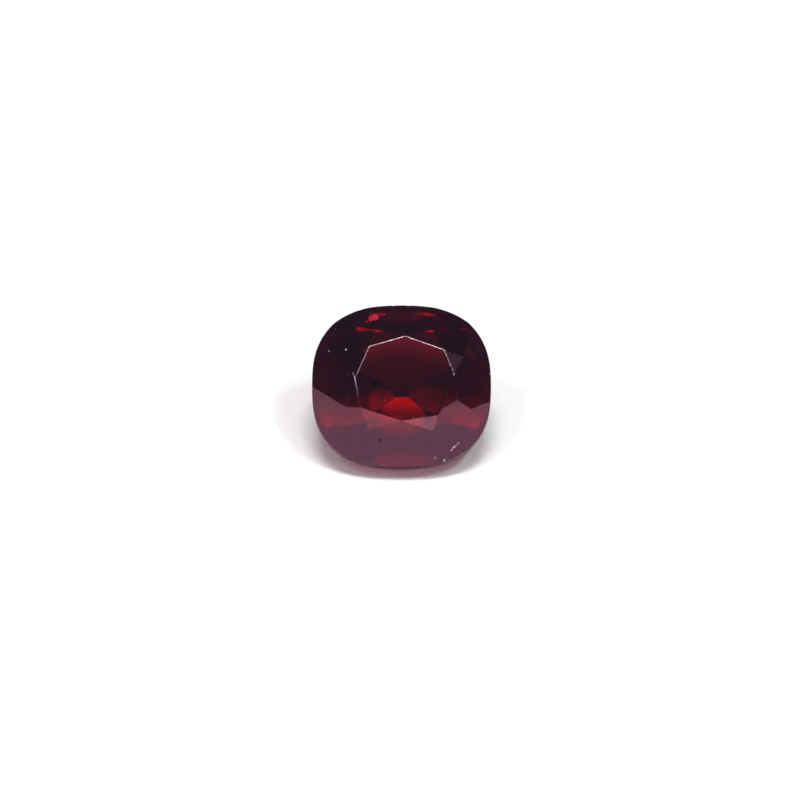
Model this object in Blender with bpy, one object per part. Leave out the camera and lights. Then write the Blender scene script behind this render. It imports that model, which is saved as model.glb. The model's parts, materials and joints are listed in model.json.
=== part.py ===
"""A loose red spinel: a cushion cut with a brilliant crown over a stepped pavilion.

The stone is made the way a lapidary makes it. A preform with the cushion outline is cut by one flat
lap after another: the table, then the mains, stars and upper halves of the crown, then the break
facets and the two steps of the pavilion. It can't stand on its keel, so it is laid down on the front
facet of its lower step, as a loose stone lies on a table, with its own table facing -Y and up.
The stone is one crystal and so one solid.
"""

import math

import bmesh
import bpy
import numpy as np
from mathutils import Matrix, Vector

MM = 0.001

# Outline and heights, in millimetres. Height 0 is the upper edge of the girdle.
WIDTH = 6.50
DEPTH = 6.05
OUTLINE_POWER = 2.6
OUTLINE_SIDES = 96
CROWN_HEIGHT = 0.68
GIRDLE_HEIGHT = 0.50

# The crown was cut by hand, so its eight corners aren't evenly spread. Each main facet runs from a
# corner of the table down to a point on the girdle: (azimuth of the table corner in degrees, its
# distance from the stone's axis in mm, azimuth of the girdle point in degrees), anticlockwise from
# the right-hand side.
MAINS = (
    (7.4, 1.93, -10.5),
    (37.1, 1.93, 43.5),
    (85.4, 1.68, 88.5),
    (132.2, 1.74, 137.0),
    (177.0, 1.69, 180.6),
    (214.2, 1.80, 221.0),
    (271.0, 1.51, 265.0),
    (317.6, 1.91, 311.0),
)
STAR_TIP_HEIGHT = 0.79 * CROWN_HEIGHT

# Pavilion: sixteen steep break facets under the girdle, then two steps of eight facets each. A step
# starts this far below the girdle, on a level line that keeps an even distance from the outline.
BREAK_ANGLE = 60.0
UPPER_STEP_ANGLE = 46.0
UPPER_STEP_DROP = 0.42
LOWER_STEP_ANGLE = 38.0
LOWER_STEP_DROP = 1.25
STEP_AZIMUTHS = (0.0, 44.0, 90.0, 137.0, 180.0, 223.0, 270.0, 316.0)
REST_AZIMUTH = 270.0

ON_PLANE = 1e-4  # mm: a corner this near a lap counts as lying on it

SPINEL_RED = (0.30, 0.006, 0.022, 1.0)
SPINEL_IOR = 1.718
POLISH = 0.04


def clear_scene():
    for obj in list(bpy.data.objects):
        bpy.data.objects.remove(obj, do_unlink=True)


def collection_of(name):
    found = bpy.data.collections.new(name)
    bpy.context.scene.collection.children.link(found)
    return found


def spinel_material():
    """Clear polished red crystal."""
    material = bpy.data.materials.new("spinel_crystal")
    material.use_nodes = True
    shader = material.node_tree.nodes["Principled BSDF"]
    shader.inputs["Base Color"].default_value = SPINEL_RED
    shader.inputs["Roughness"].default_value = POLISH
    shader.inputs["Metallic"].default_value = 0.0
    shader.inputs["IOR"].default_value = SPINEL_IOR
    shader.inputs["Transmission Weight"].default_value = 0.8
    return material


def direction(azimuth):
    return Vector((math.cos(azimuth), math.sin(azimuth), 0))


def outline_point(azimuth):
    """The cushion outline, a superellipse: |x/a|^n + |y/b|^n = 1 in the direction of the azimuth."""
    way = direction(azimuth)
    reach = abs(2 * way.x / WIDTH) ** OUTLINE_POWER + abs(2 * way.y / DEPTH) ** OUTLINE_POWER
    return way * reach ** (-1 / OUTLINE_POWER)


def outline_reach(azimuth):
    """How far the outline reaches along the azimuth: the superellipse's support, with the dual power."""
    way = direction(azimuth)
    dual = OUTLINE_POWER / (OUTLINE_POWER - 1)
    return (abs(way.x * WIDTH / 2) ** dual + abs(way.y * DEPTH / 2) ** dual) ** (1 / dual)


def azimuth_between(first, second):
    """The azimuth half way between two girdle points, anticlockwise from the first."""
    start = math.atan2(first.y, first.x)
    sweep = (math.atan2(second.y, second.x) - start) % (2 * math.pi)
    return start + sweep / 2


def pavilion_normal(azimuth, angle):
    """The outward normal of a pavilion facet that slopes by angle from the girdle plane."""
    return direction(azimuth) * math.sin(angle) - Vector((0, 0, math.cos(angle)))


def normal_through(first, second, third):
    """The normal of the plane through three points, turned away from the stone's axis."""
    normal = (second - first).cross(third - first).normalized()
    middle = (first + second + third) / 3
    return normal if normal.dot(Vector((middle.x, middle.y, 0))) > 0 else -normal


def meet(planes):
    """The point where three planes, each a (point, normal), cross."""
    normals = np.array([normal for _, normal in planes])
    offsets = np.array([normal.dot(point) for point, normal in planes])
    return Vector(np.linalg.solve(normals, offsets))


def preform():
    """The blank: the outline drawn up into a wall that reaches past the table and the keel."""
    top, bottom = WIDTH / 2, -WIDTH
    stone = bmesh.new()
    azimuths = np.linspace(0, 2 * math.pi, OUTLINE_SIDES, endpoint=False)
    floor = Vector((0, 0, bottom))
    base = stone.faces.new([stone.verts.new(outline_point(a) + floor) for a in azimuths])
    raised = bmesh.ops.extrude_face_region(stone, geom=[base])["geom"]
    lifted = [part for part in raised if isinstance(part, bmesh.types.BMVert)]
    bmesh.ops.translate(stone, verts=lifted, vec=(0, 0, top - bottom))
    bmesh.ops.recalc_face_normals(stone, faces=stone.faces)
    return stone


def lap(stone, point, normal):
    """Grinds one flat facet: takes off all that lies past the plane, and closes the stone there."""
    everything = stone.verts[:] + stone.edges[:] + stone.faces[:]
    cut = bmesh.ops.bisect_plane(
        stone, geom=everything, dist=ON_PLANE, plane_co=point, plane_no=normal, clear_outer=True
    )
    rim = [part for part in cut["geom_cut"] if isinstance(part, bmesh.types.BMEdge)]
    open_rim = [edge for edge in rim if edge.is_boundary]
    if open_rim:
        bmesh.ops.edgeloop_fill(stone, edges=open_rim)


def crown_mains():
    """(table corner, girdle point, outward normal) of each main facet, level along the girdle."""
    mains = []
    for corner_azimuth, corner_radius, girdle_azimuth in MAINS:
        corner = direction(math.radians(corner_azimuth)) * corner_radius
        corner.z = CROWN_HEIGHT
        azimuth = math.radians(girdle_azimuth)
        foot = outline_point(azimuth)
        step = math.radians(0.5)
        along = outline_point(azimuth + step) - outline_point(azimuth - step)
        mains.append((corner, foot, normal_through(corner, foot, foot + along)))
    return mains


def cut_crown(stone, mains):
    """The table and mains, then between each two mains a star and two upper halves, which all meet."""
    up = Vector((0, 0, 1))
    lap(stone, up * CROWN_HEIGHT, up)
    for corner, _, normal in mains:
        lap(stone, corner, normal)
    for k, (corner, foot, normal) in enumerate(mains):
        next_corner, next_foot, next_normal = mains[(k + 1) % len(mains)]
        star_level = (up * STAR_TIP_HEIGHT, up)
        tip = meet(((corner, normal), (next_corner, next_normal), star_level))
        middle = outline_point(azimuth_between(foot, next_foot))
        lap(stone, tip, normal_through(corner, next_corner, tip))
        lap(stone, tip, normal_through(tip, foot, middle))
        lap(stone, tip, normal_through(tip, middle, next_foot))


def cut_break_facets(stone, mains):
    """Two steep facets under each stretch of girdle from one main to the next."""
    girdle = Vector((0, 0, -GIRDLE_HEIGHT))
    for k, (_, foot, _) in enumerate(mains):
        next_foot = mains[(k + 1) % len(mains)][1]
        middle = outline_point(azimuth_between(foot, next_foot))
        for start, end in ((foot, middle), (middle, next_foot)):
            outward = math.atan2(start.x - end.x, end.y - start.y)
            lap(stone, start + girdle, pavilion_normal(outward, math.radians(BREAK_ANGLE)))


def cut_step(stone, angle, drop, inset):
    """Eight facets from a level line at this drop below the girdle and inset from the outline."""
    for degrees in STEP_AZIMUTHS:
        azimuth = math.radians(degrees)
        line = direction(azimuth) * (outline_reach(azimuth) - inset)
        line.z = -GIRDLE_HEIGHT - drop
        lap(stone, line, pavilion_normal(azimuth, angle))


def cut_pavilion(stone, mains):
    break_angle, upper_angle = math.radians(BREAK_ANGLE), math.radians(UPPER_STEP_ANGLE)
    cut_break_facets(stone, mains)
    upper_inset = UPPER_STEP_DROP / math.tan(break_angle)
    cut_step(stone, upper_angle, UPPER_STEP_DROP, upper_inset)
    lower_inset = upper_inset + (LOWER_STEP_DROP - UPPER_STEP_DROP) / math.tan(upper_angle)
    cut_step(stone, math.radians(LOWER_STEP_ANGLE), LOWER_STEP_DROP, lower_inset)


def lying_down():
    """The turn that lays the stone on its resting facet, with the table facing -Y and up."""
    down = pavilion_normal(math.radians(REST_AZIMUTH), math.radians(LOWER_STEP_ANGLE))
    return down.rotation_difference(Vector((0, 0, -1))).to_matrix().to_4x4()


def make_spinel(collection):
    stone = preform()
    mains = crown_mains()
    cut_crown(stone, mains)
    cut_pavilion(stone, mains)
    bmesh.ops.recalc_face_normals(stone, faces=stone.faces)
    bmesh.ops.transform(stone, matrix=Matrix.Scale(MM, 4), verts=stone.verts)

    mesh = bpy.data.meshes.new("spinel")
    stone.to_mesh(mesh)
    stone.free()
    mesh.materials.append(spinel_material())
    spinel = bpy.data.objects.new("spinel", mesh)
    collection.objects.link(spinel)

    # Laid down, then set over the origin with its resting facet at height 0.
    turn = lying_down()
    corners = np.array([turn @ vertex.co for vertex in mesh.vertices])
    low, high = corners.min(axis=0), corners.max(axis=0)
    drop = Matrix.Translation((-(low[0] + high[0]) / 2, -(low[1] + high[1]) / 2, -low[2]))
    spinel.matrix_world = drop @ turn


def main():
    clear_scene()
    make_spinel(collection_of("Spinel gemstone"))


main()
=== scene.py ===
"""The looks of a loose red spinel: worn facet edges, girdle, nicks, inclusions, and the stage.

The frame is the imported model, in metres with +Z up. Places on and in the stone are given in the stone's
own coordinates, in millimetres: the origin is where its axis meets the table, x is the frame's X, z
points out of the table, and y runs towards the raised rear of the table.
"""

import json
import math

import bmesh
import bpy
import numpy as np
from bpy.props import FloatProperty, FloatVectorProperty, IntProperty, PointerProperty
from mathutils import Matrix, Vector
from mathutils.bvhtree import BVHTree


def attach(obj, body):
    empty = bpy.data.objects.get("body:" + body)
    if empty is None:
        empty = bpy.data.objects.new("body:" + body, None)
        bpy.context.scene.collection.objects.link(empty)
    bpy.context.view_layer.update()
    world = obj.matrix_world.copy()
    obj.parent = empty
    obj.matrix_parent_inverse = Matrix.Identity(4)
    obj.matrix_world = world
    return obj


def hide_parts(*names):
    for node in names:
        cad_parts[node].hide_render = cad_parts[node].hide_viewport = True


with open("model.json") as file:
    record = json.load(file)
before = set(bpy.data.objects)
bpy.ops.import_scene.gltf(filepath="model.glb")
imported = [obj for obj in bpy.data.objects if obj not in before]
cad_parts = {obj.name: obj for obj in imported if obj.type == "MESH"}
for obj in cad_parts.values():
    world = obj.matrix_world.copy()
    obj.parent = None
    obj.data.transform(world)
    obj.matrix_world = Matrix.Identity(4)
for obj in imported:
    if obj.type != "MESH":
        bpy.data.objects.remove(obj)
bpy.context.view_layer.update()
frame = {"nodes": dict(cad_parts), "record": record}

bl_info = {
    "name": "Loose Red Spinel",
    "version": (1, 0, 0),
    "blender": (4, 5, 0),
    "location": "View3D > Sidebar > Spinel",
    "description": "Finishes a faceted red spinel: worn edges, nicks, inclusions and a pale stage",
    "category": "Object",
}

MM = 0.001
STONE_NODE = "spinel"
BODY = "root"
IMAGE_SIDE = 800  # px, the photograph's width and height

TABLE_NORMAL = next(m for m in frame["record"]["mounts"] if m["name"] == "table")["axis"]


class StoneSettings(bpy.types.PropertyGroup):
    table_edge_width: FloatProperty(
        name="Table edge width", description="Width of the worn line along the table's edges",
        default=0.032 * MM, unit="LENGTH", precision=6)
    facet_edge_width: FloatProperty(
        name="Facet edge width", description="Width of the worn line along every other facet edge",
        default=0.016 * MM, unit="LENGTH", precision=6)
    wear_rings: IntProperty(
        name="Wear rings", description="Flats that round each worn edge", default=3, min=1, max=5)
    girdle_nicks: IntProperty(
        name="Girdle nicks", description="Tiny chips spread along the girdle's edges",
        default=14, min=0)


class CrystalSettings(bpy.types.PropertyGroup):
    refraction: FloatProperty(
        name="Refractive index", description="Refractive index of spinel", default=1.718, min=1.0)
    body_colour: FloatVectorProperty(
        name="Body colour", description="Share of red, green and blue that the crystal lets through",
        default=(0.69, 0.0, 0.18), size=3, subtype="COLOR", min=0.0, max=1.0)
    depth_of_colour: FloatProperty(
        name="Depth of colour", description="How fast light is taken up inside, per metre",
        default=1600.0, min=0.0)
    crack_drops: IntProperty(
        name="Crack drops", description="Droplets along the healed crack", default=170, min=0)
    seeds: IntProperty(
        name="Seeds", description="Tiny octahedral crystals sealed in the stone", default=10, min=0)


class StageSettings(bpy.types.PropertyGroup):
    camera_elevation: FloatProperty(
        name="Camera elevation", description="Height of the camera above the horizon",
        default=math.radians(37.0), subtype="ANGLE")
    camera_distance: FloatProperty(
        name="Camera distance", description="From the camera to the stone", default=0.25, unit="LENGTH")
    pixel_size: FloatProperty(
        name="Pixel size", description="Width of one pixel of the picture, at the stone",
        default=MM / 27.54, unit="LENGTH", precision=6)
    floor_side: FloatProperty(
        name="Floor side", description="Side of the square floor", default=1.6, unit="LENGTH")
    overhead_brightness: FloatProperty(
        name="Overhead brightness", description="Brightness of the soft box over the stone",
        default=40.0)
    wall_colour: FloatVectorProperty(
        name="Wall colour", description="Colour of the bright low walls that the facets mirror",
        default=(1.45, 0.67, 1.03), size=3, subtype="COLOR", min=0.0, max=2.0)
    ceiling_colour: FloatVectorProperty(
        name="Ceiling colour", description="Colour of the dim ceiling that the facets mirror",
        default=(0.13, 0.105, 0.19), size=3, subtype="COLOR", min=0.0, max=2.0)
    floor_seen: FloatVectorProperty(
        name="Floor seen", description="How much brighter the floor is to the camera than to the stone",
        default=(1.10, 1.46, 1.26), size=3, min=0.0, max=4.0)


def stone_space(mesh):
    """The turn and move from stone coordinates in mm to the frame in metres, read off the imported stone.

    z is the table's normal and x is the frame's X. The axis runs through the middle of the outline, and
    height 0 is the stone's highest level along z, the table.
    """
    z = Vector(TABLE_NORMAL).normalized()
    x = Vector((1, 0, 0))
    turn = Matrix((x, z.cross(x), z)).transposed()
    corners = np.array([vertex.co for vertex in mesh.vertices]) @ np.array(turn)
    low, high = corners.min(axis=0), corners.max(axis=0)
    origin = turn @ Vector(((low[0] + high[0]) / 2, (low[1] + high[1]) / 2, high[2]))
    return Matrix.Translation(origin) @ turn.to_4x4() @ Matrix.Scale(MM, 4)


TO_FRAME = stone_space(frame["nodes"][STONE_NODE].data)


def new_object(name, mesh):
    """An object at the origin, unturned and unscaled, with its place in its mesh."""
    obj = bpy.data.objects.new(name, mesh)
    bpy.context.scene.collection.objects.link(obj)
    return obj


def vectors(points):
    """Points in any shape of array as rows of x, y and z."""
    return np.asarray(points, float).reshape(-1, 3)


def to_frame(points):
    """Stone coordinates in mm to the frame in metres, as whole arrays."""
    matrix = np.array(TO_FRAME)
    return vectors(points) @ matrix[:3, :3].T + matrix[:3, 3]


def facet_planes(mesh):
    """(outward normals n, offsets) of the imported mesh's triangles: x is inside if n x < offset."""
    mesh.calc_loop_triangles()
    corners = np.array([vertex.co for vertex in mesh.vertices])
    index = np.array([triangle.vertices for triangle in mesh.loop_triangles])
    first, second, third = (corners[index[:, k]] for k in range(3))
    normals = np.cross(second - first, third - first)
    lengths = np.linalg.norm(normals, axis=1)
    whole = lengths > 0
    normals = normals[whole] / lengths[whole, None]
    return normals, (normals * first[whole]).sum(axis=1)


PLANES = facet_planes(frame["nodes"][STONE_NODE].data)


def depth_inside(points):
    """How deep each point of the frame lies under the stone's nearest facet, in mm."""
    normals, offsets = PLANES
    return (offsets - vectors(points) @ normals.T).min(axis=1) / MM


# The worn stone

FACET_TURN = math.radians(5.0)  # an edge where the facets turn by less than this isn't worn
WELD = 0.0005 * MM
SAME_FACET_TURN = math.radians(0.4)
WEAR_SEED = 11
UNEVEN_WEAR = 0.45  # how much the worn width differs from edge to edge
# How matt a worn line is, where the line along the table's rear edges is 1.
FRONT_WEAR = 0.3  # along the table's front edges
FACET_WEAR = 0.13  # along the edges of the crown and the pavilion
TABLE_LEAN = 0.9999
GIRDLE_LEAN = 0.2  # a girdle face leans less than this either way
LOWER_STEP_LEAN = -0.75  # the pavilion's upper step leans less than this, its lower step more
# How hazy the polish is on the two ends of the upper step, on its sides and on the lower step.
END_HAZE, SIDE_HAZE, LOWER_HAZE = 0.4, 1.5, 1.0
END_SHARE = 0.6  # a facet is at an end where more than this share of its outward way runs front to rear
TINY_EDGE = 0.0001 * MM
KINDS = ("worn", "girdle", "pavilion", "chip")  # the face attributes that the material reads


def joined_copy(mesh):
    """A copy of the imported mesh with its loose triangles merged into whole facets."""
    stone = bmesh.new()
    stone.from_mesh(mesh)
    bmesh.ops.remove_doubles(stone, verts=stone.verts, dist=WELD)
    bmesh.ops.dissolve_limit(
        stone, angle_limit=SAME_FACET_TURN, verts=stone.verts, edges=stone.edges)
    bmesh.ops.recalc_face_normals(stone, faces=stone.faces)
    return stone


def leans(normal):
    """The cosine between a normal and the table's: 1 on the table, 0 on the girdle."""
    return normal.dot(Vector(TABLE_NORMAL).normalized())


def table_wear(point):
    """How matt the worn line of a table edge at a point is: the rear edges have had the harder wear."""
    return 1.0 if (TO_FRAME.inverted() @ point).y > 0 else FRONT_WEAR


def wear_cuts(stone, values):
    """The flats that round each facet edge: (point on it, outward normal, depth of the cut, how matt).

    Two facets whose normals are turned by t meet in an edge. Rounding it to a worn line of width w
    takes a radius r = w / (2 tan(t/2)), and a flat whose normal is turned by a from the middle of the
    two then lies r (cos a / cos(t/2) - 1) below the sharp edge. The girdle's own edges aren't worn.
    """
    random = np.random.default_rng(WEAR_SEED)
    rings = values.wear_rings
    shares = (np.arange(rings) - (rings - 1) / 2) / rings
    cuts = []
    for edge in stone.edges:
        first, second = edge.link_faces
        turn = first.normal.angle(second.normal)
        tilts = leans(first.normal), leans(second.normal)
        if turn < FACET_TURN or max(abs(tilt) for tilt in tilts) < GIRDLE_LEAN:
            continue
        at_table = max(tilts) > TABLE_LEAN
        width = values.table_edge_width if at_table else values.facet_edge_width
        width *= 1 + UNEVEN_WEAR * random.uniform(-1, 1)
        radius = width / (2 * math.tan(turn / 2))
        middle = (edge.verts[0].co + edge.verts[1].co) / 2
        for share in shares:
            normal = first.normal.slerp(second.normal, 0.5 + share)
            depth = radius * (math.cos(share * turn) / math.cos(turn / 2) - 1)
            cuts.append((middle, normal, depth, table_wear(middle) if at_table else FACET_WEAR))
    return cuts


def grind(points, faces, normal, offset, kind):
    """Takes off a convex solid what lies past a plane, and closes the cut with one flat face.

    A face is (corner numbers, kind). A corner that the cut makes is shared by the two faces of the edge
    that it lies on, so the solid stays closed. Each cut face leaves at one corner of the cut and comes
    back at the next, which gives the new face its corners in turn.
    """
    height = np.array(points) @ normal - offset
    made, kept, following = {}, [], {}

    def crossing(low, high):
        if (low, high) not in made:
            share = height[low] / (height[low] - height[high])
            made[low, high] = len(points)
            points.append(points[low] + share * (points[high] - points[low]))
        return made[low, high]

    for loop, face_kind in faces:
        past = [height[corner] > 0 for corner in loop]
        if not any(past):
            kept.append((loop, face_kind))
            continue
        if all(past):
            continue
        trimmed = []
        nexts = zip(loop[1:] + loop[:1], past[1:] + past[:1])
        for corner, beyond, (after, after_beyond) in zip(loop, past, nexts):
            if not beyond:
                trimmed.append(corner)
            if after_beyond and not beyond:
                leaving = crossing(corner, after)
                trimmed.append(leaving)
            if beyond and not after_beyond:
                entering = crossing(after, corner)
                trimmed.append(entering)
        following[entering] = leaving
        kept.append((trimmed, face_kind))
    if not following:
        return kept
    first = next(iter(following))
    cap = [first]
    while following[cap[-1]] != first:
        cap.append(following[cap[-1]])
    kept.append((cap, kind))
    return kept


def haze(normal, lean):
    """How hazy a facet's polish is, from its normal and its lean: 0 on the crown and the girdle."""
    if lean > -GIRDLE_LEAN:
        return 0.0
    if lean < LOWER_STEP_LEAN:
        return LOWER_HAZE
    rear = TO_FRAME.to_3x3().col[1].normalized()
    return END_HAZE if abs(normal.dot(rear)) > END_SHARE * math.sqrt(1 - lean ** 2) else SIDE_HAZE


def mark_kinds(mesh, shares):
    """Writes the four kinds to the mesh's faces, one row of shares for each kind."""
    for name, row in zip(KINDS, shares):
        layer = mesh.attributes.new(name, "FLOAT", "FACE")
        layer.data.foreach_set("value", row.astype(np.float32))


def worn_stone(values):
    """The stone with its edges worn, and its kinds on each face: how worn, girdle or not, how hazy."""
    stone = joined_copy(frame["nodes"][STONE_NODE].data)
    points = [np.array(vertex.co) for vertex in stone.verts]
    faces = []
    for face in stone.faces:
        lean = leans(face.normal)
        kind = (0.0, float(abs(lean) < GIRDLE_LEAN), haze(face.normal, lean), 0.0)
        faces.append(([vertex.index for vertex in face.verts], kind))
    for point, normal, depth, matt in wear_cuts(stone, values):
        faces = grind(points, faces, np.array(normal), normal.dot(point) - depth, (matt, 0.0, 0.0, 0.0))
    stone.free()
    used = sorted({corner for loop, _ in faces for corner in loop})
    number = {corner: k for k, corner in enumerate(used)}
    loops = [[number[corner] for corner in loop] for loop, _ in faces]
    mesh = mesh_of("spinel_stone", [points[corner] for corner in used], loops)
    mark_kinds(mesh, np.array([kind for _, kind in faces]).T)
    tidy = bmesh.new()
    tidy.from_mesh(mesh)
    bmesh.ops.dissolve_degenerate(tidy, dist=TINY_EDGE, edges=tidy.edges)
    tidy.to_mesh(mesh)
    tidy.free()
    return mesh


# Nicks

NICK_RINGS, NICK_SPOKES = 10, 20
NICK_SEED = 29
NICK_SIZES = (0.02, 0.05)  # mm, half the length of a girdle nick
UPPER_SHARE = 0.6  # the share of the girdle nicks that lie on its upper edge
# The nicks that the photograph shows: (its two ends as pixels, width in mm, depth in mm). Flakes are
# broken out so that their floors face the overhead light, pits go straight in, and far nicks lie on the
# far side of the stone, where they're seen through it.
FLAKES = (
    ((459.8, 442.0), (456.0, 445.2), 0.060, 0.024),
    ((457.0, 444.4), (452.0, 448.8), 0.085, 0.032),
    ((453.4, 447.2), (450.2, 452.2), 0.065, 0.026),
    ((446.2, 457.6), (443.0, 462.2), 0.115, 0.038),
    ((436.4, 457.2), (433.8, 458.8), 0.080, 0.028),
    ((345.0, 349.1), (347.0, 350.1), 0.095, 0.030),
    ((328.3, 350.8), (329.7, 351.4), 0.060, 0.020),
    ((443.2, 349.4), (445.4, 351.6), 0.095, 0.028),
)
PITS = (
    ((377.4, 441.9), (381.4, 438.4), 0.125, 0.140),
)
FAR_NICKS = (
    ((369.0, 423.5), (370.5, 422.0), 0.070, 0.028),
)


def bowls(centres, long_ways, outs, sizes):
    """Cutters for shell-shaped nicks, as (points, faces), all worked out at once.

    Each is an ellipsoid over the angles u round it and v from pole to pole. Its radius is
    1 + 0.05 cos 9v + 0.04 cos(3u + 1.3), for the ripples of a shell fracture, and its three half sizes
    run along the nick, across it, and into the stone.
    """
    u, v = np.meshgrid(
        np.linspace(0, 2 * math.pi, NICK_SPOKES, endpoint=False),
        np.linspace(0, math.pi, NICK_RINGS + 1)[1:-1])
    ripple = 1 + 0.05 * np.cos(9 * v) + 0.04 * np.cos(3 * u + 1.3)
    ball = np.stack([np.cos(u) * np.sin(v), np.sin(u) * np.sin(v), np.cos(v)], axis=-1)
    ball = (ball * ripple[..., None]).reshape(-1, 3)
    ball = np.concatenate([ball, [[0, 0, 1.05], [0, 0, -1.05]]])
    axes = np.stack([long_ways, np.cross(outs, long_ways), outs], axis=1)
    points = centres[:, None] + np.einsum("pk,nk,nkx->npx", ball, sizes, axes)
    return points, ball_faces(NICK_SPOKES, NICK_RINGS - 1, len(centres))


def ball_faces(spokes, rings, count):
    """Faces of count balls, each of rings level circles with spokes points, then its two poles."""
    ring, spoke = np.meshgrid(np.arange(rings - 1), np.arange(spokes), indexing="ij")
    here, beside = ring * spokes + spoke, ring * spokes + (spoke + 1) % spokes
    quads = np.stack([here, here + spokes, beside + spokes, beside], axis=-1).reshape(-1, 4)
    around = np.arange(spokes)
    top, last = rings * spokes, (rings - 1) * spokes
    caps = np.concatenate([
        np.stack([np.full(spokes, top), around, (around + 1) % spokes], axis=-1),
        np.stack([np.full(spokes, top + 1), last + (around + 1) % spokes, last + around], axis=-1)])
    size = rings * spokes + 2
    starts = (np.arange(count) * size)[:, None, None]
    return [tuple(face) for group in (quads, caps) for face in (group[None] + starts).reshape(
        -1, group.shape[1]).tolist()]


def mesh_of(name, points, faces):
    mesh = bpy.data.meshes.new(name)
    mesh.from_pydata(vectors(points).tolist(), [], faces)
    mesh.validate()
    mesh.update()
    return mesh


def seen_nicks():
    """(centres, ways along, outward ways, half sizes) of the nicks seen in the photograph."""
    rows = []
    flakes = [(surface_at, True, *row) for row in FLAKES]
    pits = [(surface_at, False, *row) for row in PITS]
    far = [(far_side_at, False, *row) for row in FAR_NICKS]
    for look, faces_light, first, last, width, depth in flakes + pits + far:
        (start, out), (end, _) = look(*first), look(*last)
        if faces_light:
            out = (sky_way(*OVERHEAD_WAY) + (camera_place()[0] - start).normalized()).normalized()
        along = (end - start).normalized()
        along = (along - out * along.dot(out)).normalized()
        half = max((end - start).length / 2, width * MM / 2)
        rows.append(((start + end) / 2, along, out, (half, width * MM / 2, depth * MM)))
    return [np.array([row[k] for row in rows]) for k in range(4)]


def girdle_nicks(count):
    """As seen_nicks, for small nicks spread by chance along the girdle's two edges."""
    random = np.random.default_rng(NICK_SEED)
    low, high = np.array(GIRDLE_LEVELS)
    turn = random.uniform(0, 2 * math.pi, count)
    level = np.where(random.random(count) < UPPER_SHARE, high, low)
    ways = np.stack([np.cos(turn), np.sin(turn), np.zeros(count)], axis=1)
    rows = []
    for way, height in zip(ways, level):
        place = Vector(to_frame([*(way[:2] * OUTLINE_HALF), height])[0])
        found = STONE_TREE.find_nearest(place)[0]
        out = (TO_FRAME.to_3x3() @ Vector(way)).normalized()
        along = out.cross(Vector(TABLE_NORMAL)).normalized()
        size = random.uniform(*NICK_SIZES) * MM
        rows.append((found, along, out, (size, size * 0.7, size * random.uniform(0.3, 0.5))))
    return [np.array([row[k] for row in rows]) for k in range(4)]


def nick(stone, values):
    """Cuts the nicks from the stone with one Boolean, whose cutter marks each cut face as chip.

    The cut is made in millimetres, because in metres its smallest faces fall under the Boolean's limit.
    """
    parts = [np.concatenate(pair) for pair in zip(seen_nicks(), girdle_nicks(values.girdle_nicks))]
    points, faces = bowls(*parts)
    cutter_mesh = mesh_of("nick_cutter", points, faces)
    count = len(cutter_mesh.polygons)
    mark_kinds(cutter_mesh, [np.full(count, float(name == "chip")) for name in KINDS])
    cutter = new_object("nick_cutter", cutter_mesh)
    for mesh in (stone.data, cutter_mesh):
        mesh.transform(Matrix.Scale(1 / MM, 4))
    cut = stone.modifiers.new("nicks", "BOOLEAN")
    cut.operation = "DIFFERENCE"
    cut.object = cutter
    cut.use_self = True
    bpy.context.view_layer.update()
    evaluated = stone.evaluated_get(bpy.context.evaluated_depsgraph_get())
    nicked = bpy.data.meshes.new_from_object(evaluated)
    nicked.transform(Matrix.Scale(MM, 4))
    stone.modifiers.clear()
    bpy.data.objects.remove(cutter)
    plain = stone.data
    nicked.name = "spinel_stone"
    stone.data = nicked
    bpy.data.meshes.remove(plain)


SMOOTH_TURN = math.radians(25.0)  # a sharper edge than this stays sharp


def round_off(mesh):
    """Shades neighbours as one smooth surface where both are girdle, both worn or both nick."""
    count = len(mesh.polygons)
    kinds = np.zeros(count, np.int32)
    for kind, name in enumerate(("girdle", "worn", "chip"), start=1):
        shares = np.empty(count, np.float32)
        mesh.attributes[name].data.foreach_get("value", shares)
        kinds[shares > 0] = kind
    normals = np.empty(count * 3, np.float32)
    mesh.polygons.foreach_get("normal", normals)
    normals = normals.reshape(-1, 3)
    totals = np.empty(count, np.int32)
    mesh.polygons.foreach_get("loop_total", totals)
    edges = np.empty(len(mesh.loops), np.int32)
    mesh.loops.foreach_get("edge_index", edges)
    faces = np.repeat(np.arange(count), totals)
    order = np.argsort(edges, kind="stable")
    first, second = faces[order[0::2]], faces[order[1::2]]
    if not (edges[order[0::2]] == edges[order[1::2]]).all():
        raise RuntimeError("the stone isn't closed")
    alike = (kinds[first] > 0) & (kinds[first] == kinds[second])
    turned = (normals[first] * normals[second]).sum(axis=1) < math.cos(SMOOTH_TURN)
    mesh.polygons.foreach_set("use_smooth", np.ones(count, bool))
    mesh.edges.foreach_set("use_edge_sharp", ~alike | turned)
    mesh.update()


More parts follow.
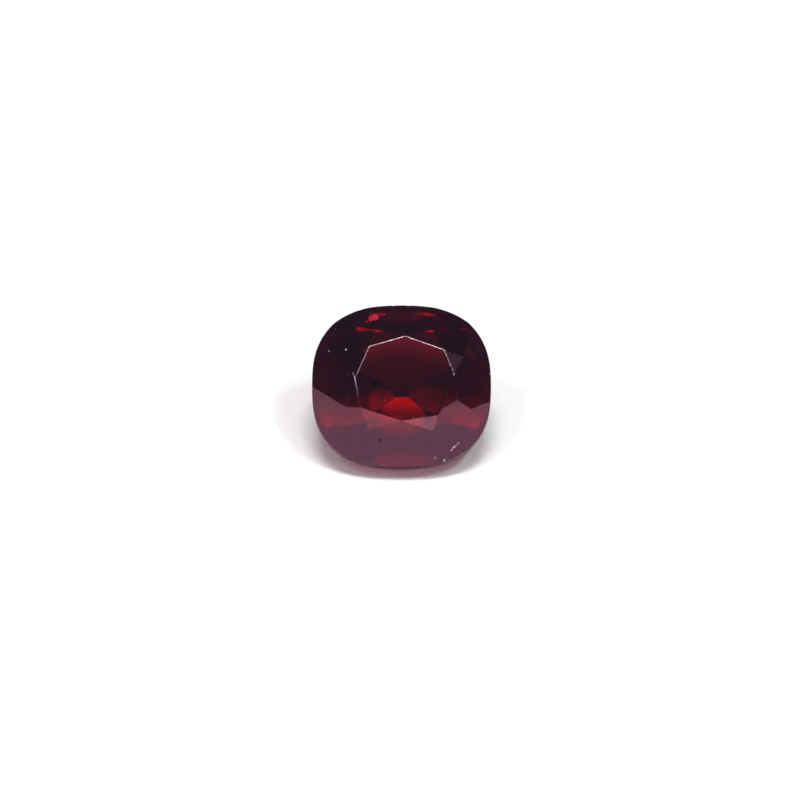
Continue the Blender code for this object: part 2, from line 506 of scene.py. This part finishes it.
def lay_lap_map(mesh):
    """The map that the polish lines follow: mm along and across each face's own lapping direction.

    The direction turns about the face's normal n by an angle that is a fixed scramble of n, so all
    pieces of one facet share it.
    """
    count = len(mesh.loops)
    normals = np.empty(len(mesh.polygons) * 3, np.float32)
    mesh.polygons.foreach_get("normal", normals)
    normals = normals.reshape(-1, 3).round(3)
    totals = np.empty(len(mesh.polygons), np.int32)
    mesh.polygons.foreach_get("loop_total", totals)
    corner_vertex = np.empty(count, np.int32)
    mesh.loops.foreach_get("vertex_index", corner_vertex)
    places = np.empty(len(mesh.vertices) * 3, np.float32)
    mesh.vertices.foreach_get("co", places)
    places = places.reshape(-1, 3)[corner_vertex] / MM
    turn = 2 * math.pi * np.modf(np.sin(normals @ np.array((12.9898, 78.233, 37.719))) * 43758.5453)[0]
    side = np.cross(normals, (0.31, 0.52, 0.79))
    side /= np.linalg.norm(side, axis=1)[:, None] + 1e-9
    up = np.cross(normals, side)
    along = side * np.cos(turn)[:, None] + up * np.sin(turn)[:, None]
    across = np.cross(normals, along)
    along, across = np.repeat(along, totals, axis=0), np.repeat(across, totals, axis=0)
    flat = np.stack([(places * along).sum(axis=1), (places * across).sum(axis=1)], axis=1)
    lap = mesh.uv_layers.new(name="lap")
    lap.data.foreach_set("uv", flat.astype(np.float32).ravel())


# Materials

POLISH_RELIEF = 0.010  # mm, from the hollows to the crests of a pavilion facet's waves
CROWN_WAVES = 0.1  # the waves of a crown facet, beside a pavilion facet's
LINE_HEIGHT, SCRATCH_HEIGHT = 0.0015, 0.004  # beside the waves'
GIRDLE_RELIEF = 0.004  # mm
CHIP_GROUND = 0.6  # how ground a break is, beside the girdle
# What each finish adds to the crystal's roughness.
POLISHED_ROUGHNESS, SMEARED_ROUGHNESS = 0.004, 0.02
PAVILION_ROUGHNESS = 0.17  # for light that meets it from inside
WORN_ROUGHNESS = 0.42
GIRDLE_ROUGHNESS = 0.30
CHIP_ROUGHNESS, CHIP_INSIDE_ROUGHNESS = 0.32, 0.06
CHIP_COAT_ROUGHNESS, CHIP_COAT_REFRACTION = 0.28, 2.2  # the bright splinters of a fresh break


class Nodes:
    """Short calls that add shader nodes to one tree and link them."""

    def __init__(self, tree):
        self.tree = tree

    def add(self, kind, inputs=None, **settings):
        node = self.tree.nodes.new(kind)
        for name, value in settings.items():
            setattr(node, name, value)
        for key, value in (inputs or {}).items():
            self.feed(node.inputs[key], value)
        return node

    def feed(self, socket, value):
        if isinstance(value, bpy.types.NodeSocket):
            self.tree.links.new(value, socket)
        else:
            socket.default_value = value

    def maths(self, operation, *values, clamp=False):
        node = self.add("ShaderNodeMath", operation=operation, use_clamp=clamp)
        for socket, value in zip(node.inputs, values):
            self.feed(socket, value)
        return node.outputs[0]

    def noise(self, vector, scale, detail=2.0, roughness=0.5):
        return self.add("ShaderNodeTexNoise", {
            "Vector": vector, "Scale": scale, "Detail": detail, "Roughness": roughness}).outputs["Fac"]

    def band(self, value, low, high, to_low=0.0, to_high=1.0):
        return self.add("ShaderNodeMapRange", {
            "Value": value, "From Min": low, "From Max": high, "To Min": to_low, "To Max": to_high},
            interpolation_type="SMOOTHSTEP").outputs["Result"]

    def blend(self, share, first, second, **settings):
        node = self.add("ShaderNodeMix", {0: share}, data_type="RGBA", **settings)
        self.feed(node.inputs[6], first)
        self.feed(node.inputs[7], second)
        return node.outputs[2]

    def attribute(self, name):
        return self.add("ShaderNodeAttribute", attribute_name=name).outputs["Fac"]

    def place(self):
        return self.add("ShaderNodeTexCoord").outputs["Object"]


def new_group(name, inputs, outputs):
    """(group, its nodes, its input sockets by name, its output node)."""
    group = bpy.data.node_groups.new(name, "ShaderNodeTree")
    for socket, kind, default in inputs:
        made = group.interface.new_socket(socket, in_out="INPUT", socket_type=kind)
        if default is not None:
            made.default_value = default
    for socket, kind in outputs:
        group.interface.new_socket(socket, in_out="OUTPUT", socket_type=kind)
    nodes = Nodes(group)
    return group, nodes, nodes.add("NodeGroupInput").outputs, nodes.add("NodeGroupOutput")


def polish_group():
    """Fine parallel polish lines, a few deeper scratches and the waviness of hand-held lapping."""
    group, nodes, given, result = new_group(
        "polish", [("Lap", "NodeSocketVector", None), ("Place", "NodeSocketVector", None),
                   ("Lines", "NodeSocketFloat", 1.0), ("Waves", "NodeSocketFloat", 1.0)],
        [("Height", "NodeSocketFloat"), ("Haze", "NodeSocketFloat")])
    drawn = nodes.add("ShaderNodeMapping", {"Vector": given["Lap"], "Scale": (0.8, 55.0, 1.0)})
    lines = nodes.noise(drawn.outputs[0], 1.0, 3.0, 0.6)
    crossed = nodes.add("ShaderNodeMapping", {
        "Vector": given["Lap"], "Rotation": (0.0, 0.0, 0.9), "Scale": (0.5, 26.0, 1.0)})
    scratch = nodes.band(nodes.noise(crossed.outputs[0], 1.0, 1.0), 0.66, 0.72)
    waves = nodes.noise(given["Place"], 0.75 / MM, 1.0)
    cut = nodes.maths("MULTIPLY", scratch, SCRATCH_HEIGHT)
    fine = nodes.maths("SUBTRACT", nodes.maths("MULTIPLY", lines, LINE_HEIGHT), cut)
    wavy = nodes.maths("MULTIPLY", waves, given["Waves"])
    nodes.feed(result.inputs["Height"], nodes.maths("MULTIPLY_ADD", fine, given["Lines"], wavy))
    smear = nodes.band(nodes.noise(given["Place"], 1.6 / MM, 3.0), 0.45, 0.75)
    nodes.feed(result.inputs["Haze"], nodes.maths("MULTIPLY", nodes.maths("ADD", smear, scratch), 0.5))
    return group


def wear_group():
    """Breaks a mask of worn edges into the runs and gaps of real abrasion."""
    group, nodes, given, result = new_group(
        "wear", [("Mask", "NodeSocketFloat", 1.0), ("Place", "NodeSocketVector", None),
                 ("Size", "NodeSocketFloat", 9.0)],
        [("Worn", "NodeSocketFloat")])
    per_metre = nodes.maths("MULTIPLY", given["Size"], 1 / MM)
    broken = nodes.band(nodes.noise(given["Place"], per_metre, 3.0, 0.65), 0.42, 0.62)
    runs = nodes.maths("MULTIPLY_ADD", broken, 0.5, 0.5)
    nodes.feed(result.inputs["Worn"], nodes.maths("MULTIPLY", given["Mask"], runs))
    return group


def grain_group():
    """The ground, grainy skin of the girdle and of fresh breaks."""
    group, nodes, given, result = new_group(
        "grain", [("Place", "NodeSocketVector", None), ("Size", "NodeSocketFloat", 40.0)],
        [("Height", "NodeSocketFloat")])
    per_metre = nodes.maths("MULTIPLY", given["Size"], 1 / MM)
    coarse = nodes.noise(given["Place"], per_metre, 4.0, 0.6)
    cells = nodes.add("ShaderNodeTexVoronoi", {"Vector": given["Place"], "Scale": per_metre})
    nodes.feed(result.inputs["Height"], nodes.maths(
        "MULTIPLY_ADD", cells.outputs["Distance"], 0.5, nodes.maths("MULTIPLY", coarse, 0.5)))
    return group


def shared_group(name):
    """The named shader group, built the first time it is asked for."""
    return bpy.data.node_groups.get(name) or GROUP_MAKERS[name]()


GROUP_MAKERS = {"polish": polish_group, "wear": wear_group, "grain": grain_group}


def new_material(name):
    material = bpy.data.materials.new(name)
    material.use_nodes = True
    tree = material.node_tree
    return material, Nodes(tree), tree.nodes["Principled BSDF"], tree.nodes["Material Output"]


def crystal_material(values):
    """Clear red spinel: polished facets, worn edges, a ground girdle and fresh nicks on one crystal."""
    material, nodes, shader, output = new_material("spinel_red_crystal")
    shader.inputs["IOR"].default_value = values.refraction
    shader.inputs["Transmission Weight"].default_value = 1.0
    place = nodes.place()
    girdle, pavilion, chip = (nodes.attribute(name) for name in ("girdle", "pavilion", "chip"))
    lap = nodes.add("ShaderNodeUVMap", uv_map="lap").outputs["UV"]
    waves = nodes.maths("MULTIPLY_ADD", pavilion, 1 - CROWN_WAVES, CROWN_WAVES, clamp=True)
    polish = nodes.add("ShaderNodeGroup", {
        "Lap": lap, "Place": place, "Lines": 1.0, "Waves": waves}, node_tree=shared_group("polish"))
    wear = nodes.add("ShaderNodeGroup", {
        "Mask": nodes.attribute("worn"), "Place": place}, node_tree=shared_group("wear"))
    grain = nodes.add("ShaderNodeGroup", {"Place": place}, node_tree=shared_group("grain"))

    inside = nodes.add("ShaderNodeNewGeometry").outputs["Backfacing"]
    hazy = nodes.maths("MULTIPLY", pavilion, inside)
    chipped = nodes.maths("MULTIPLY_ADD", inside, CHIP_INSIDE_ROUGHNESS - CHIP_ROUGHNESS, CHIP_ROUGHNESS)
    rough = POLISHED_ROUGHNESS
    for share, added in (
            (polish.outputs["Haze"], SMEARED_ROUGHNESS), (hazy, PAVILION_ROUGHNESS),
            (wear.outputs["Worn"], WORN_ROUGHNESS), (girdle, GIRDLE_ROUGHNESS), (chip, chipped)):
        rough = nodes.maths("MULTIPLY_ADD", share, added, rough, clamp=True)
    nodes.feed(shader.inputs["Roughness"], rough)
    outside = nodes.maths("SUBTRACT", 1.0, inside)
    nodes.feed(shader.inputs["Coat Weight"], nodes.maths("MULTIPLY", chip, outside))
    shader.inputs["Coat Roughness"].default_value = CHIP_COAT_ROUGHNESS
    shader.inputs["Coat IOR"].default_value = CHIP_COAT_REFRACTION

    ground = nodes.maths("ADD", girdle, nodes.maths("MULTIPLY", chip, CHIP_GROUND), clamp=True)
    tint = nodes.maths("MULTIPLY", nodes.noise(place, 1.1 / MM), 0.5)
    pale = nodes.blend(tint, (1.0, 1.0, 1.0, 1.0), (1.0, 0.93, 0.96, 1.0))
    nodes.feed(shader.inputs["Base Color"], nodes.blend(ground, pale, (0.93, 0.88, 0.90, 1.0)))

    facets = nodes.add("ShaderNodeBump", {
        "Height": polish.outputs["Height"], "Strength": 1.0, "Distance": POLISH_RELIEF * MM})
    ground_relief = nodes.maths("MULTIPLY", ground, GIRDLE_RELIEF * MM)
    skin = nodes.add("ShaderNodeBump", {
        "Height": grain.outputs["Height"], "Strength": 1.0, "Distance": ground_relief,
        "Normal": facets.outputs["Normal"]})
    nodes.feed(shader.inputs["Normal"], skin.outputs["Normal"])

    absorption = nodes.add("ShaderNodeVolumeAbsorption", {
        "Color": (*values.body_colour, 1.0), "Density": values.depth_of_colour})
    nodes.feed(output.inputs["Volume"], absorption.outputs["Volume"])
    return material


def void_material(values):
    """The walls of droplets in the crystal. Light meets them from the denser side."""
    material, nodes, shader, _ = new_material("sealed_void")
    shader.inputs["IOR"].default_value = 1 / values.refraction
    shader.inputs["Transmission Weight"].default_value = 1.0
    grain = nodes.noise(nodes.place(), 18 / MM, 3.0)
    nodes.feed(shader.inputs["Roughness"], nodes.band(grain, 0.35, 0.7, 0.03, 0.22))
    colour = nodes.blend(grain, (1.0, 0.97, 0.98, 1.0), (0.9, 0.8, 0.84, 1.0))
    nodes.feed(shader.inputs["Base Color"], colour)
    bump = nodes.add("ShaderNodeBump", {"Height": grain, "Strength": 0.6, "Distance": 0.004 * MM})
    nodes.feed(shader.inputs["Normal"], bump.outputs["Normal"])
    return material


def seed_material():
    """Small pale guest crystals, seen through the red."""
    material, nodes, shader, _ = new_material("sealed_seed")
    place = nodes.place()
    mottle = nodes.noise(place, 14 / MM, 3.0)
    colour = nodes.blend(mottle, (0.80, 0.66, 0.62, 1.0), (0.30, 0.17, 0.15, 1.0))
    nodes.feed(shader.inputs["Base Color"], colour)
    nodes.feed(shader.inputs["Roughness"], nodes.band(mottle, 0.3, 0.7, 0.15, 0.5))
    bump = nodes.add("ShaderNodeBump", {"Height": mottle, "Strength": 0.4, "Distance": 0.003 * MM})
    nodes.feed(shader.inputs["Normal"], bump.outputs["Normal"])
    return material


def plate_material():
    """Thin bright plates of a metallic mineral."""
    material, nodes, shader, _ = new_material("sealed_plate")
    mottle = nodes.noise(nodes.place(), 30 / MM, 3.0)
    colour = nodes.blend(mottle, (0.92, 0.84, 0.80, 1.0), (0.66, 0.55, 0.52, 1.0))
    nodes.feed(shader.inputs["Base Color"], colour)
    nodes.feed(shader.inputs["Roughness"], nodes.band(mottle, 0.3, 0.7, 0.08, 0.25))
    shader.inputs["Metallic"].default_value = 1.0
    return material


def floor_material(values):
    """Pale matt board. The camera sees it brighter, as in a picture exposed for a white ground."""
    material, nodes, shader, _ = new_material("pale_floor")
    place = nodes.place()
    grain = nodes.noise(place, 3 / MM, 4.0)
    cloud = nodes.noise(place, 0.02 / MM, 2.0)
    lit = nodes.blend(cloud, FLOOR_COLOUR, tuple(0.97 * part for part in FLOOR_COLOUR[:3]) + (1.0,))
    by_camera = nodes.add("ShaderNodeLightPath").outputs["Is Camera Ray"]
    seen = nodes.blend(by_camera, lit, (*values.floor_seen, 1.0), blend_type="MULTIPLY")
    nodes.feed(shader.inputs["Base Color"], seen)
    nodes.feed(shader.inputs["Roughness"], nodes.band(grain, 0.3, 0.7, 0.55, 0.7))
    shader.inputs["Specular IOR Level"].default_value = 0.2
    bump = nodes.add("ShaderNodeBump", {"Height": grain, "Strength": 0.2, "Distance": 0.01 * MM})
    nodes.feed(shader.inputs["Normal"], bump.outputs["Normal"])
    return material


# What is sealed in the stone

SEAL_MARGIN = 0.05  # mm, the least depth under a facet of anything sealed in
CRACK_SEED, SEED_SEED = 5, 17
CRACK_CENTRE = (1.25, -0.95, -0.92)
CRACK_WAYS = ((0.86, 0.42, -0.29), (-0.20, 0.80, 0.56))
CRACK_HALF = (0.95, 0.55)
# Plates: (pixel column, pixel row, share of the way to the far side, half width in mm).
PLATES = (
    (375.0, 317.4, 0.73, 0.145),
    (370.6, 319.8, 0.72, 0.075),
    (366.6, 321.6, 0.72, 0.040),
    (384.5, 314.5, 0.76, 0.030),
)
PLATE_THICKNESS = 0.0012  # mm, half of it
PLATE_TIP = 0.028  # how far, as a slope, the plates are tipped to the right of the camera's ray


def spheroids(centres, ways, sizes, spokes, rings):
    """Closed balls at many places at once, each with its own three ways and half sizes along them.

    Point (u, v) of a ball is (cos u sin v, sin u sin v, cos v) times its half sizes. With four spokes
    and one ring the ball is an octahedron.
    """
    u, v = np.meshgrid(
        np.linspace(0, 2 * math.pi, spokes, endpoint=False), np.linspace(0, math.pi, rings + 2)[1:-1])
    ball = np.stack([np.cos(u) * np.sin(v), np.sin(u) * np.sin(v), np.cos(v)], axis=-1).reshape(-1, 3)
    ball = np.concatenate([ball, [[0, 0, 1], [0, 0, -1]]])
    points = centres[:, None] + np.einsum("pk,nk,nkx->npx", ball, sizes, ways)
    return points, spokes, rings


def sealed_mesh(name, points, spokes, rings):
    """One mesh of all the balls that lie deep enough under every facet."""
    count, size = points.shape[:2]
    flat = to_frame(points)
    deep = depth_inside(flat).reshape(count, size).min(axis=1) > SEAL_MARGIN
    if not deep.any():
        raise RuntimeError(f"{name}: nothing lies inside the stone")
    return mesh_of(name, flat.reshape(count, size, 3)[deep], ball_faces(spokes, rings, int(deep.sum())))


def random_ways(random, count):
    """Three square ways for each of count balls, turned at random."""
    first = random.normal(size=(count, 3))
    first /= np.linalg.norm(first, axis=1)[:, None]
    second = np.cross(first, random.normal(size=(count, 3)))
    second /= np.linalg.norm(second, axis=1)[:, None]
    return np.stack([first, second, np.cross(first, second)], axis=1)


def square_ways(first, second):
    """Three square ways: along the first, in the plane of both, and across them."""
    first = np.array(first) / np.linalg.norm(first)
    second = np.array(second) - first * np.dot(first, second)
    second /= np.linalg.norm(second)
    return np.stack([first, second, np.cross(first, second)])


def crack_mesh(count):
    """A healed crack: flattened droplets in whorls, as in a fingerprint, on a gently twisted sheet.

    At (a, b) on the sheet, each from -1 to 1, the sheet stands 0.12 sin(2 a) + 0.08 a b mm off its
    plane. A droplet is drawn to the nearest of the rings of constant length of (a, 1.4 b - 0.3 a), and
    it is long along its ring.
    """
    random = np.random.default_rng(CRACK_SEED)
    turn, reach = random.uniform(0, 2 * math.pi, count), np.sqrt(random.uniform(0.0, 1.0, count))
    reach = (np.round(reach * 7) + random.normal(0, 0.10, count)) / 7
    a = reach * np.cos(turn)
    b = reach * np.sin(turn) * 0.75 + 0.2 * a
    lift = 0.12 * np.sin(2 * a) + 0.08 * a * b
    ways = square_ways(*CRACK_WAYS)
    sheet = np.stack([a * CRACK_HALF[0], b * CRACK_HALF[1], lift], axis=1)
    centres = np.array(CRACK_CENTRE) + sheet @ ways
    along = -np.sin(turn)[:, None] * ways[0] + np.cos(turn)[:, None] * ways[1]
    out = np.broadcast_to(ways[2], along.shape)
    axes = np.stack([along, np.cross(out, along), out], axis=1)
    length = random.lognormal(math.log(0.014), 0.45, count)
    sizes = np.stack([length, length * random.uniform(0.3, 0.6, count), length * 0.25], axis=1)
    return sealed_mesh("healed_crack", *spheroids(centres, axes, sizes, 8, 3))


def seed_mesh(count):
    """Octahedral crystals that stray by chance from a curved string under the table.

    At t from -1 to 1 the string runs through (1.3 t - 0.4, 0.9 t t - 0.5, -1.1 - 0.5 t).
    """
    random = np.random.default_rng(SEED_SEED)
    along = random.uniform(-1, 1, count)
    centres = np.stack([1.3 * along - 0.4, 0.9 * along ** 2 - 0.5, -1.1 - 0.5 * along], axis=1)
    centres += random.normal(0, 0.28, (count, 3))
    size = random.lognormal(math.log(0.018), 0.45, count)
    return sealed_mesh("seed_crystals", *spheroids(
        centres, random_ways(random, count), np.stack([size] * 3, axis=1), 4, 1))


def plate_mesh():
    """Flat six-sided plates that mirror the camera's bent ray back to the opening in front."""
    rows = []
    for column, row, share, half in PLATES:
        near, far, inner, _ = bent_ray(column, row)
        out = (Vector((PLATE_TIP, 0, 0)) - inner).normalized()
        across = out.cross(Vector((0.3, 0.1, 1.0))).normalized()
        sizes = (half, half, PLATE_THICKNESS)
        rows.append((near.lerp(far, share), (across, out.cross(across), out), sizes))
    centres, ways, sizes = (np.array([row[k] for row in rows]) for k in range(3))
    centres = (centres - np.array(TO_FRAME)[:3, 3]) @ np.linalg.inv(np.array(TO_FRAME)[:3, :3]).T
    ways = ways @ np.array(TO_FRAME.to_3x3().normalized())
    return sealed_mesh("flash_plates", *spheroids(centres, ways, sizes, 6, 1))


def seal_in(mesh, material):
    """Gives a sealed piece its own material and hangs it on the stone's body, so that it moves with the
    stone.
    """
    mesh.materials.append(material)
    piece = new_object(mesh.name, mesh)
    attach(piece, BODY)
    return piece


# The camera, and places given by its pixels

# The stone's girdle centre, in stone coordinates in mm, and its pixel in the photograph.
GIRDLE_CENTRE = (0.0, 0.0, -0.68)
GIRDLE_CENTRE_PIXEL = (401.5, 385.5)
GIRDLE_LEVELS = (-1.18, -0.68)
OUTLINE_HALF = (3.25, 3.025)


def camera_axes(elevation):
    """Right, up and back of the camera, which stands at azimuth 0."""
    right = Vector((1, 0, 0))
    back = Vector((0, -math.cos(elevation), math.sin(elevation)))
    return right, back.cross(right), back


def camera_place():
    """(camera, aim) points: the aim is what the picture's middle shows beside the girdle's centre."""
    values = bpy.context.scene.spinel_stage
    right, up, back = camera_axes(values.camera_elevation)
    column, row = GIRDLE_CENTRE_PIXEL
    middle = IMAGE_SIDE / 2
    aim = TO_FRAME @ Vector(GIRDLE_CENTRE)
    aim += (right * (middle - column) - up * (middle - row)) * values.pixel_size
    return aim + back * values.camera_distance, aim


def stone_tree():
    """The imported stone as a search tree, for rays and nearest points."""
    mesh = frame["nodes"][STONE_NODE].data
    mesh.calc_loop_triangles()
    triangles = [triangle.vertices for triangle in mesh.loop_triangles]
    return BVHTree.FromPolygons([vertex.co for vertex in mesh.vertices], triangles)


STONE_TREE = stone_tree()


def surface_at(column, row):
    """(point, outward normal) of the stone where the camera's ray through that pixel meets it."""
    values = bpy.context.scene.spinel_stage
    right, up, _ = camera_axes(values.camera_elevation)
    camera, aim = camera_place()
    middle = IMAGE_SIDE / 2
    target = aim + (right * (column - middle) - up * (row - middle)) * values.pixel_size
    point, normal, _, _ = STONE_TREE.ray_cast(camera, (target - camera).normalized())
    if point is None:
        raise RuntimeError(f"pixel {column}, {row} isn't on the stone")
    return point, normal if normal.dot(camera - point) > 0 else -normal


def bent_ray(column, row):
    """(start, end, direction, outward normal at the end) inside the stone of the ray of a pixel.

    By Snell's law, a ray d that meets a face with outward normal n from the air goes on as
    b d + (b c - sqrt(1 - b b (1 - c c))) n, with b = 1 / refractive index and c = -d n.
    """
    near, normal = surface_at(column, row)
    ray = (near - camera_place()[0]).normalized()
    bend = 1 / bpy.context.scene.spinel_crystal.refraction
    cosine = -ray.dot(normal)
    inner = ray * bend + normal * (bend * cosine - math.sqrt(1 - bend ** 2 * (1 - cosine ** 2)))
    point, far, _, _ = STONE_TREE.ray_cast(near + inner * 0.01 * MM, inner)
    if point is None:
        raise RuntimeError(f"the ray of pixel {column}, {row} doesn't leave the stone")
    return near, point, inner.normalized(), far if far.dot(inner) > 0 else -far


def far_side_at(column, row):
    """As surface_at, for where the pixel's bent ray meets the stone's far side."""
    _, point, _, out = bent_ray(column, row)
    return point, out


class SPINEL_OT_stone(bpy.types.Operator):
    """Wear the cut stone's facet edges and give it its red crystal"""
    bl_idname = "spinel.stone"
    bl_label = "Worn Stone"

    def execute(self, context):
        stone = new_object("spinel_stone", worn_stone(context.scene.spinel_stone))
        nick(stone, context.scene.spinel_stone)
        round_off(stone.data)
        lay_lap_map(stone.data)
        stone.data.materials.clear()
        stone.data.materials.append(crystal_material(context.scene.spinel_crystal))
        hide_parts(STONE_NODE)
        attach(stone, BODY)
        return {"FINISHED"}


class SPINEL_OT_inclusions(bpy.types.Operator):
    """Seal in the healed crack, the seed crystals and the flashing plates"""
    bl_idname = "spinel.inclusions"
    bl_label = "Inclusions"

    def execute(self, context):
        values = context.scene.spinel_crystal
        void, seed, plate = void_material(values), seed_material(), plate_material()
        seal_in(crack_mesh(values.crack_drops), void)
        seal_in(seed_mesh(values.seeds), seed)
        seal_in(plate_mesh(), plate)
        return {"FINISHED"}


# Stage

FLOOR_GAP = 0.004 * MM
FLOOR_COLOUR = (0.50, 0.50, 0.50, 1.0)
LIGHT_DISTANCE = 0.30
# Directions are (azimuth, elevation) in degrees: azimuth 0 is the camera's side and grows to the right.
OVERHEAD_WAY = (2.0, 79.3)
OVERHEAD_HALF = (11.5, 6.3)  # degrees to each side, across and up
OVERHEAD_COLOUR = (1.0, 0.76, 0.83)
# Round openings in the room: (direction, half width in degrees, softness in degrees, colour).
OPENINGS = (
    ((54.0, 59.5), 5.2, 1.5, (40.0, 40.0, 40.0)),
    ((-52.0, 58.5), 4.3, 1.5, (26.0, 26.0, 26.0)),
    ((7.0, 37.0), 7.0, 3.0, (2.9, 1.18, 1.65)),
    ((-12.0, 42.5), 4.5, 2.0, (2.6, 0.85, 1.15)),
    ((68.0, 64.5), 2.5, 1.5, (0.5, 0.27, 0.45)),
    ((180.0, 44.0), 6.0, 3.5, (1.3, 0.7, 0.9)),
)
CEILING_AXIS = (0.116, 0.63, 1.0)
CEILING_REACH = math.radians(69.2)
CEILING_SOFTNESS = math.radians(1.5)


def place_camera(values):
    """The camera looks straight at its aim, through a lens that gives the pixel size at the stone."""
    _, _, back = camera_axes(values.camera_elevation)
    data = bpy.data.cameras.new("camera")
    data.lens = data.sensor_width * values.camera_distance / (IMAGE_SIDE * values.pixel_size)
    data.clip_start, data.clip_end = 1 * MM, 10.0
    camera = new_object("camera", data)
    camera.location = camera_place()[0]
    camera.rotation_euler = back.to_track_quat("Z", "Y").to_euler()
    bpy.context.scene.camera = camera


def sky_way(azimuth, elevation):
    turn, rise = math.radians(azimuth), math.radians(elevation)
    return Vector((math.sin(turn) * math.cos(rise), -math.cos(turn) * math.cos(rise), math.sin(rise)))


def soft_box(name, way, half_angles, brightness, colour):
    """A rectangular area light that faces the stone. Its power is pi times its area and brightness."""
    data = bpy.data.lights.new(name, "AREA")
    data.shape = "RECTANGLE"
    data.size, data.size_y = (2 * LIGHT_DISTANCE * math.tan(math.radians(half)) for half in half_angles)
    data.energy = math.pi * data.size * data.size_y * brightness
    data.color = colour
    light = new_object(name, data)
    light.location = sky_way(*way) * LIGHT_DISTANCE
    light.rotation_euler = sky_way(*way).to_track_quat("Z", "Y").to_euler()
    light.visible_camera = False


def round_share(nodes, direction, axis, reach, softness):
    """1 within an angle of an axis and 0 outside it, with a soft step between, in radians."""
    ends = {0: direction, 1: axis.normalized()}
    height = nodes.add("ShaderNodeVectorMath", ends, operation="DOT_PRODUCT").outputs["Value"]
    return nodes.band(height, math.cos(reach + softness), math.cos(reach - softness))


def light_room(values):
    """The camera sees a pale wall. All other rays see bright low walls under a dim round ceiling.

    The ceiling is all that lies within an angle of an axis that leans to the rear: its edge stands 53
    degrees above the horizon in front, 31 on the left and 18 on the right. A few round openings shine
    in the walls and the ceiling.
    """
    world = bpy.data.worlds.new("room")
    bpy.context.scene.world = world
    world.use_nodes = True
    nodes = Nodes(world.node_tree)
    direction = nodes.add("ShaderNodeTexCoord").outputs["Generated"]
    roof = round_share(nodes, direction, Vector(CEILING_AXIS), CEILING_REACH, CEILING_SOFTNESS)
    room = nodes.blend(roof, (*values.wall_colour, 1.0), (*values.ceiling_colour, 1.0))
    for way, half, softness, colour in OPENINGS:
        share = round_share(nodes, direction, sky_way(*way), math.radians(half), math.radians(softness))
        room = nodes.blend(share, room, (*colour, 1.0))
    seen = nodes.add("ShaderNodeLightPath").outputs["Is Camera Ray"]
    background = world.node_tree.nodes["Background"]
    nodes.feed(background.inputs["Color"], nodes.blend(seen, room, (1.0, 1.0, 1.0, 1.0)))


def lay_floor(values):
    """A square board just under the stone."""
    half = values.floor_side / 2
    around = (-half, -half), (half, -half), (half, half), (-half, half)
    mesh = mesh_of("floor", [(x, y, -FLOOR_GAP) for x, y in around], [(0, 1, 2, 3)])
    mesh.materials.append(floor_material(values))
    new_object("floor", mesh)


class SPINEL_OT_stage(bpy.types.Operator):
    """Set the pale floor, the soft lights, the room and the camera"""
    bl_idname = "spinel.stage"
    bl_label = "Stage"

    def execute(self, context):
        values = context.scene.spinel_stage
        lay_floor(values)
        soft_box("overhead", OVERHEAD_WAY, OVERHEAD_HALF, values.overhead_brightness, OVERHEAD_COLOUR)
        light_room(values)
        place_camera(values)
        scene = context.scene
        scene.view_settings.view_transform = "Standard"
        scene.cycles.max_bounces = 24
        scene.cycles.transmission_bounces = 20
        scene.cycles.glossy_bounces = 12
        scene.cycles.sampling_pattern = "TABULATED_SOBOL"
        return {"FINISHED"}


class SPINEL_PT_panel(bpy.types.Panel):
    """Lists the steps that make the spinel and its stage"""
    bl_label = "Spinel"
    bl_idname = "SPINEL_PT_panel"
    bl_space_type = "VIEW_3D"
    bl_region_type = "UI"
    bl_category = "Spinel"

    def draw(self, context):
        for operator in OPERATORS:
            self.layout.operator(operator.bl_idname)


GROUPS = {
    "spinel_stone": StoneSettings, "spinel_crystal": CrystalSettings, "spinel_stage": StageSettings}
OPERATORS = (SPINEL_OT_stone, SPINEL_OT_inclusions, SPINEL_OT_stage)
CLASSES = (*GROUPS.values(), *OPERATORS, SPINEL_PT_panel)


def register():
    for cls in CLASSES:
        bpy.utils.register_class(cls)
    for name, group in GROUPS.items():
        setattr(bpy.types.Scene, name, PointerProperty(type=group))


def unregister():
    for name in GROUPS:
        delattr(bpy.types.Scene, name)
    for cls in reversed(CLASSES):
        bpy.utils.unregister_class(cls)


def main():
    register()
    bpy.ops.spinel.stone()
    bpy.ops.spinel.inclusions()
    bpy.ops.spinel.stage()


if __name__ == "__main__":
    main()
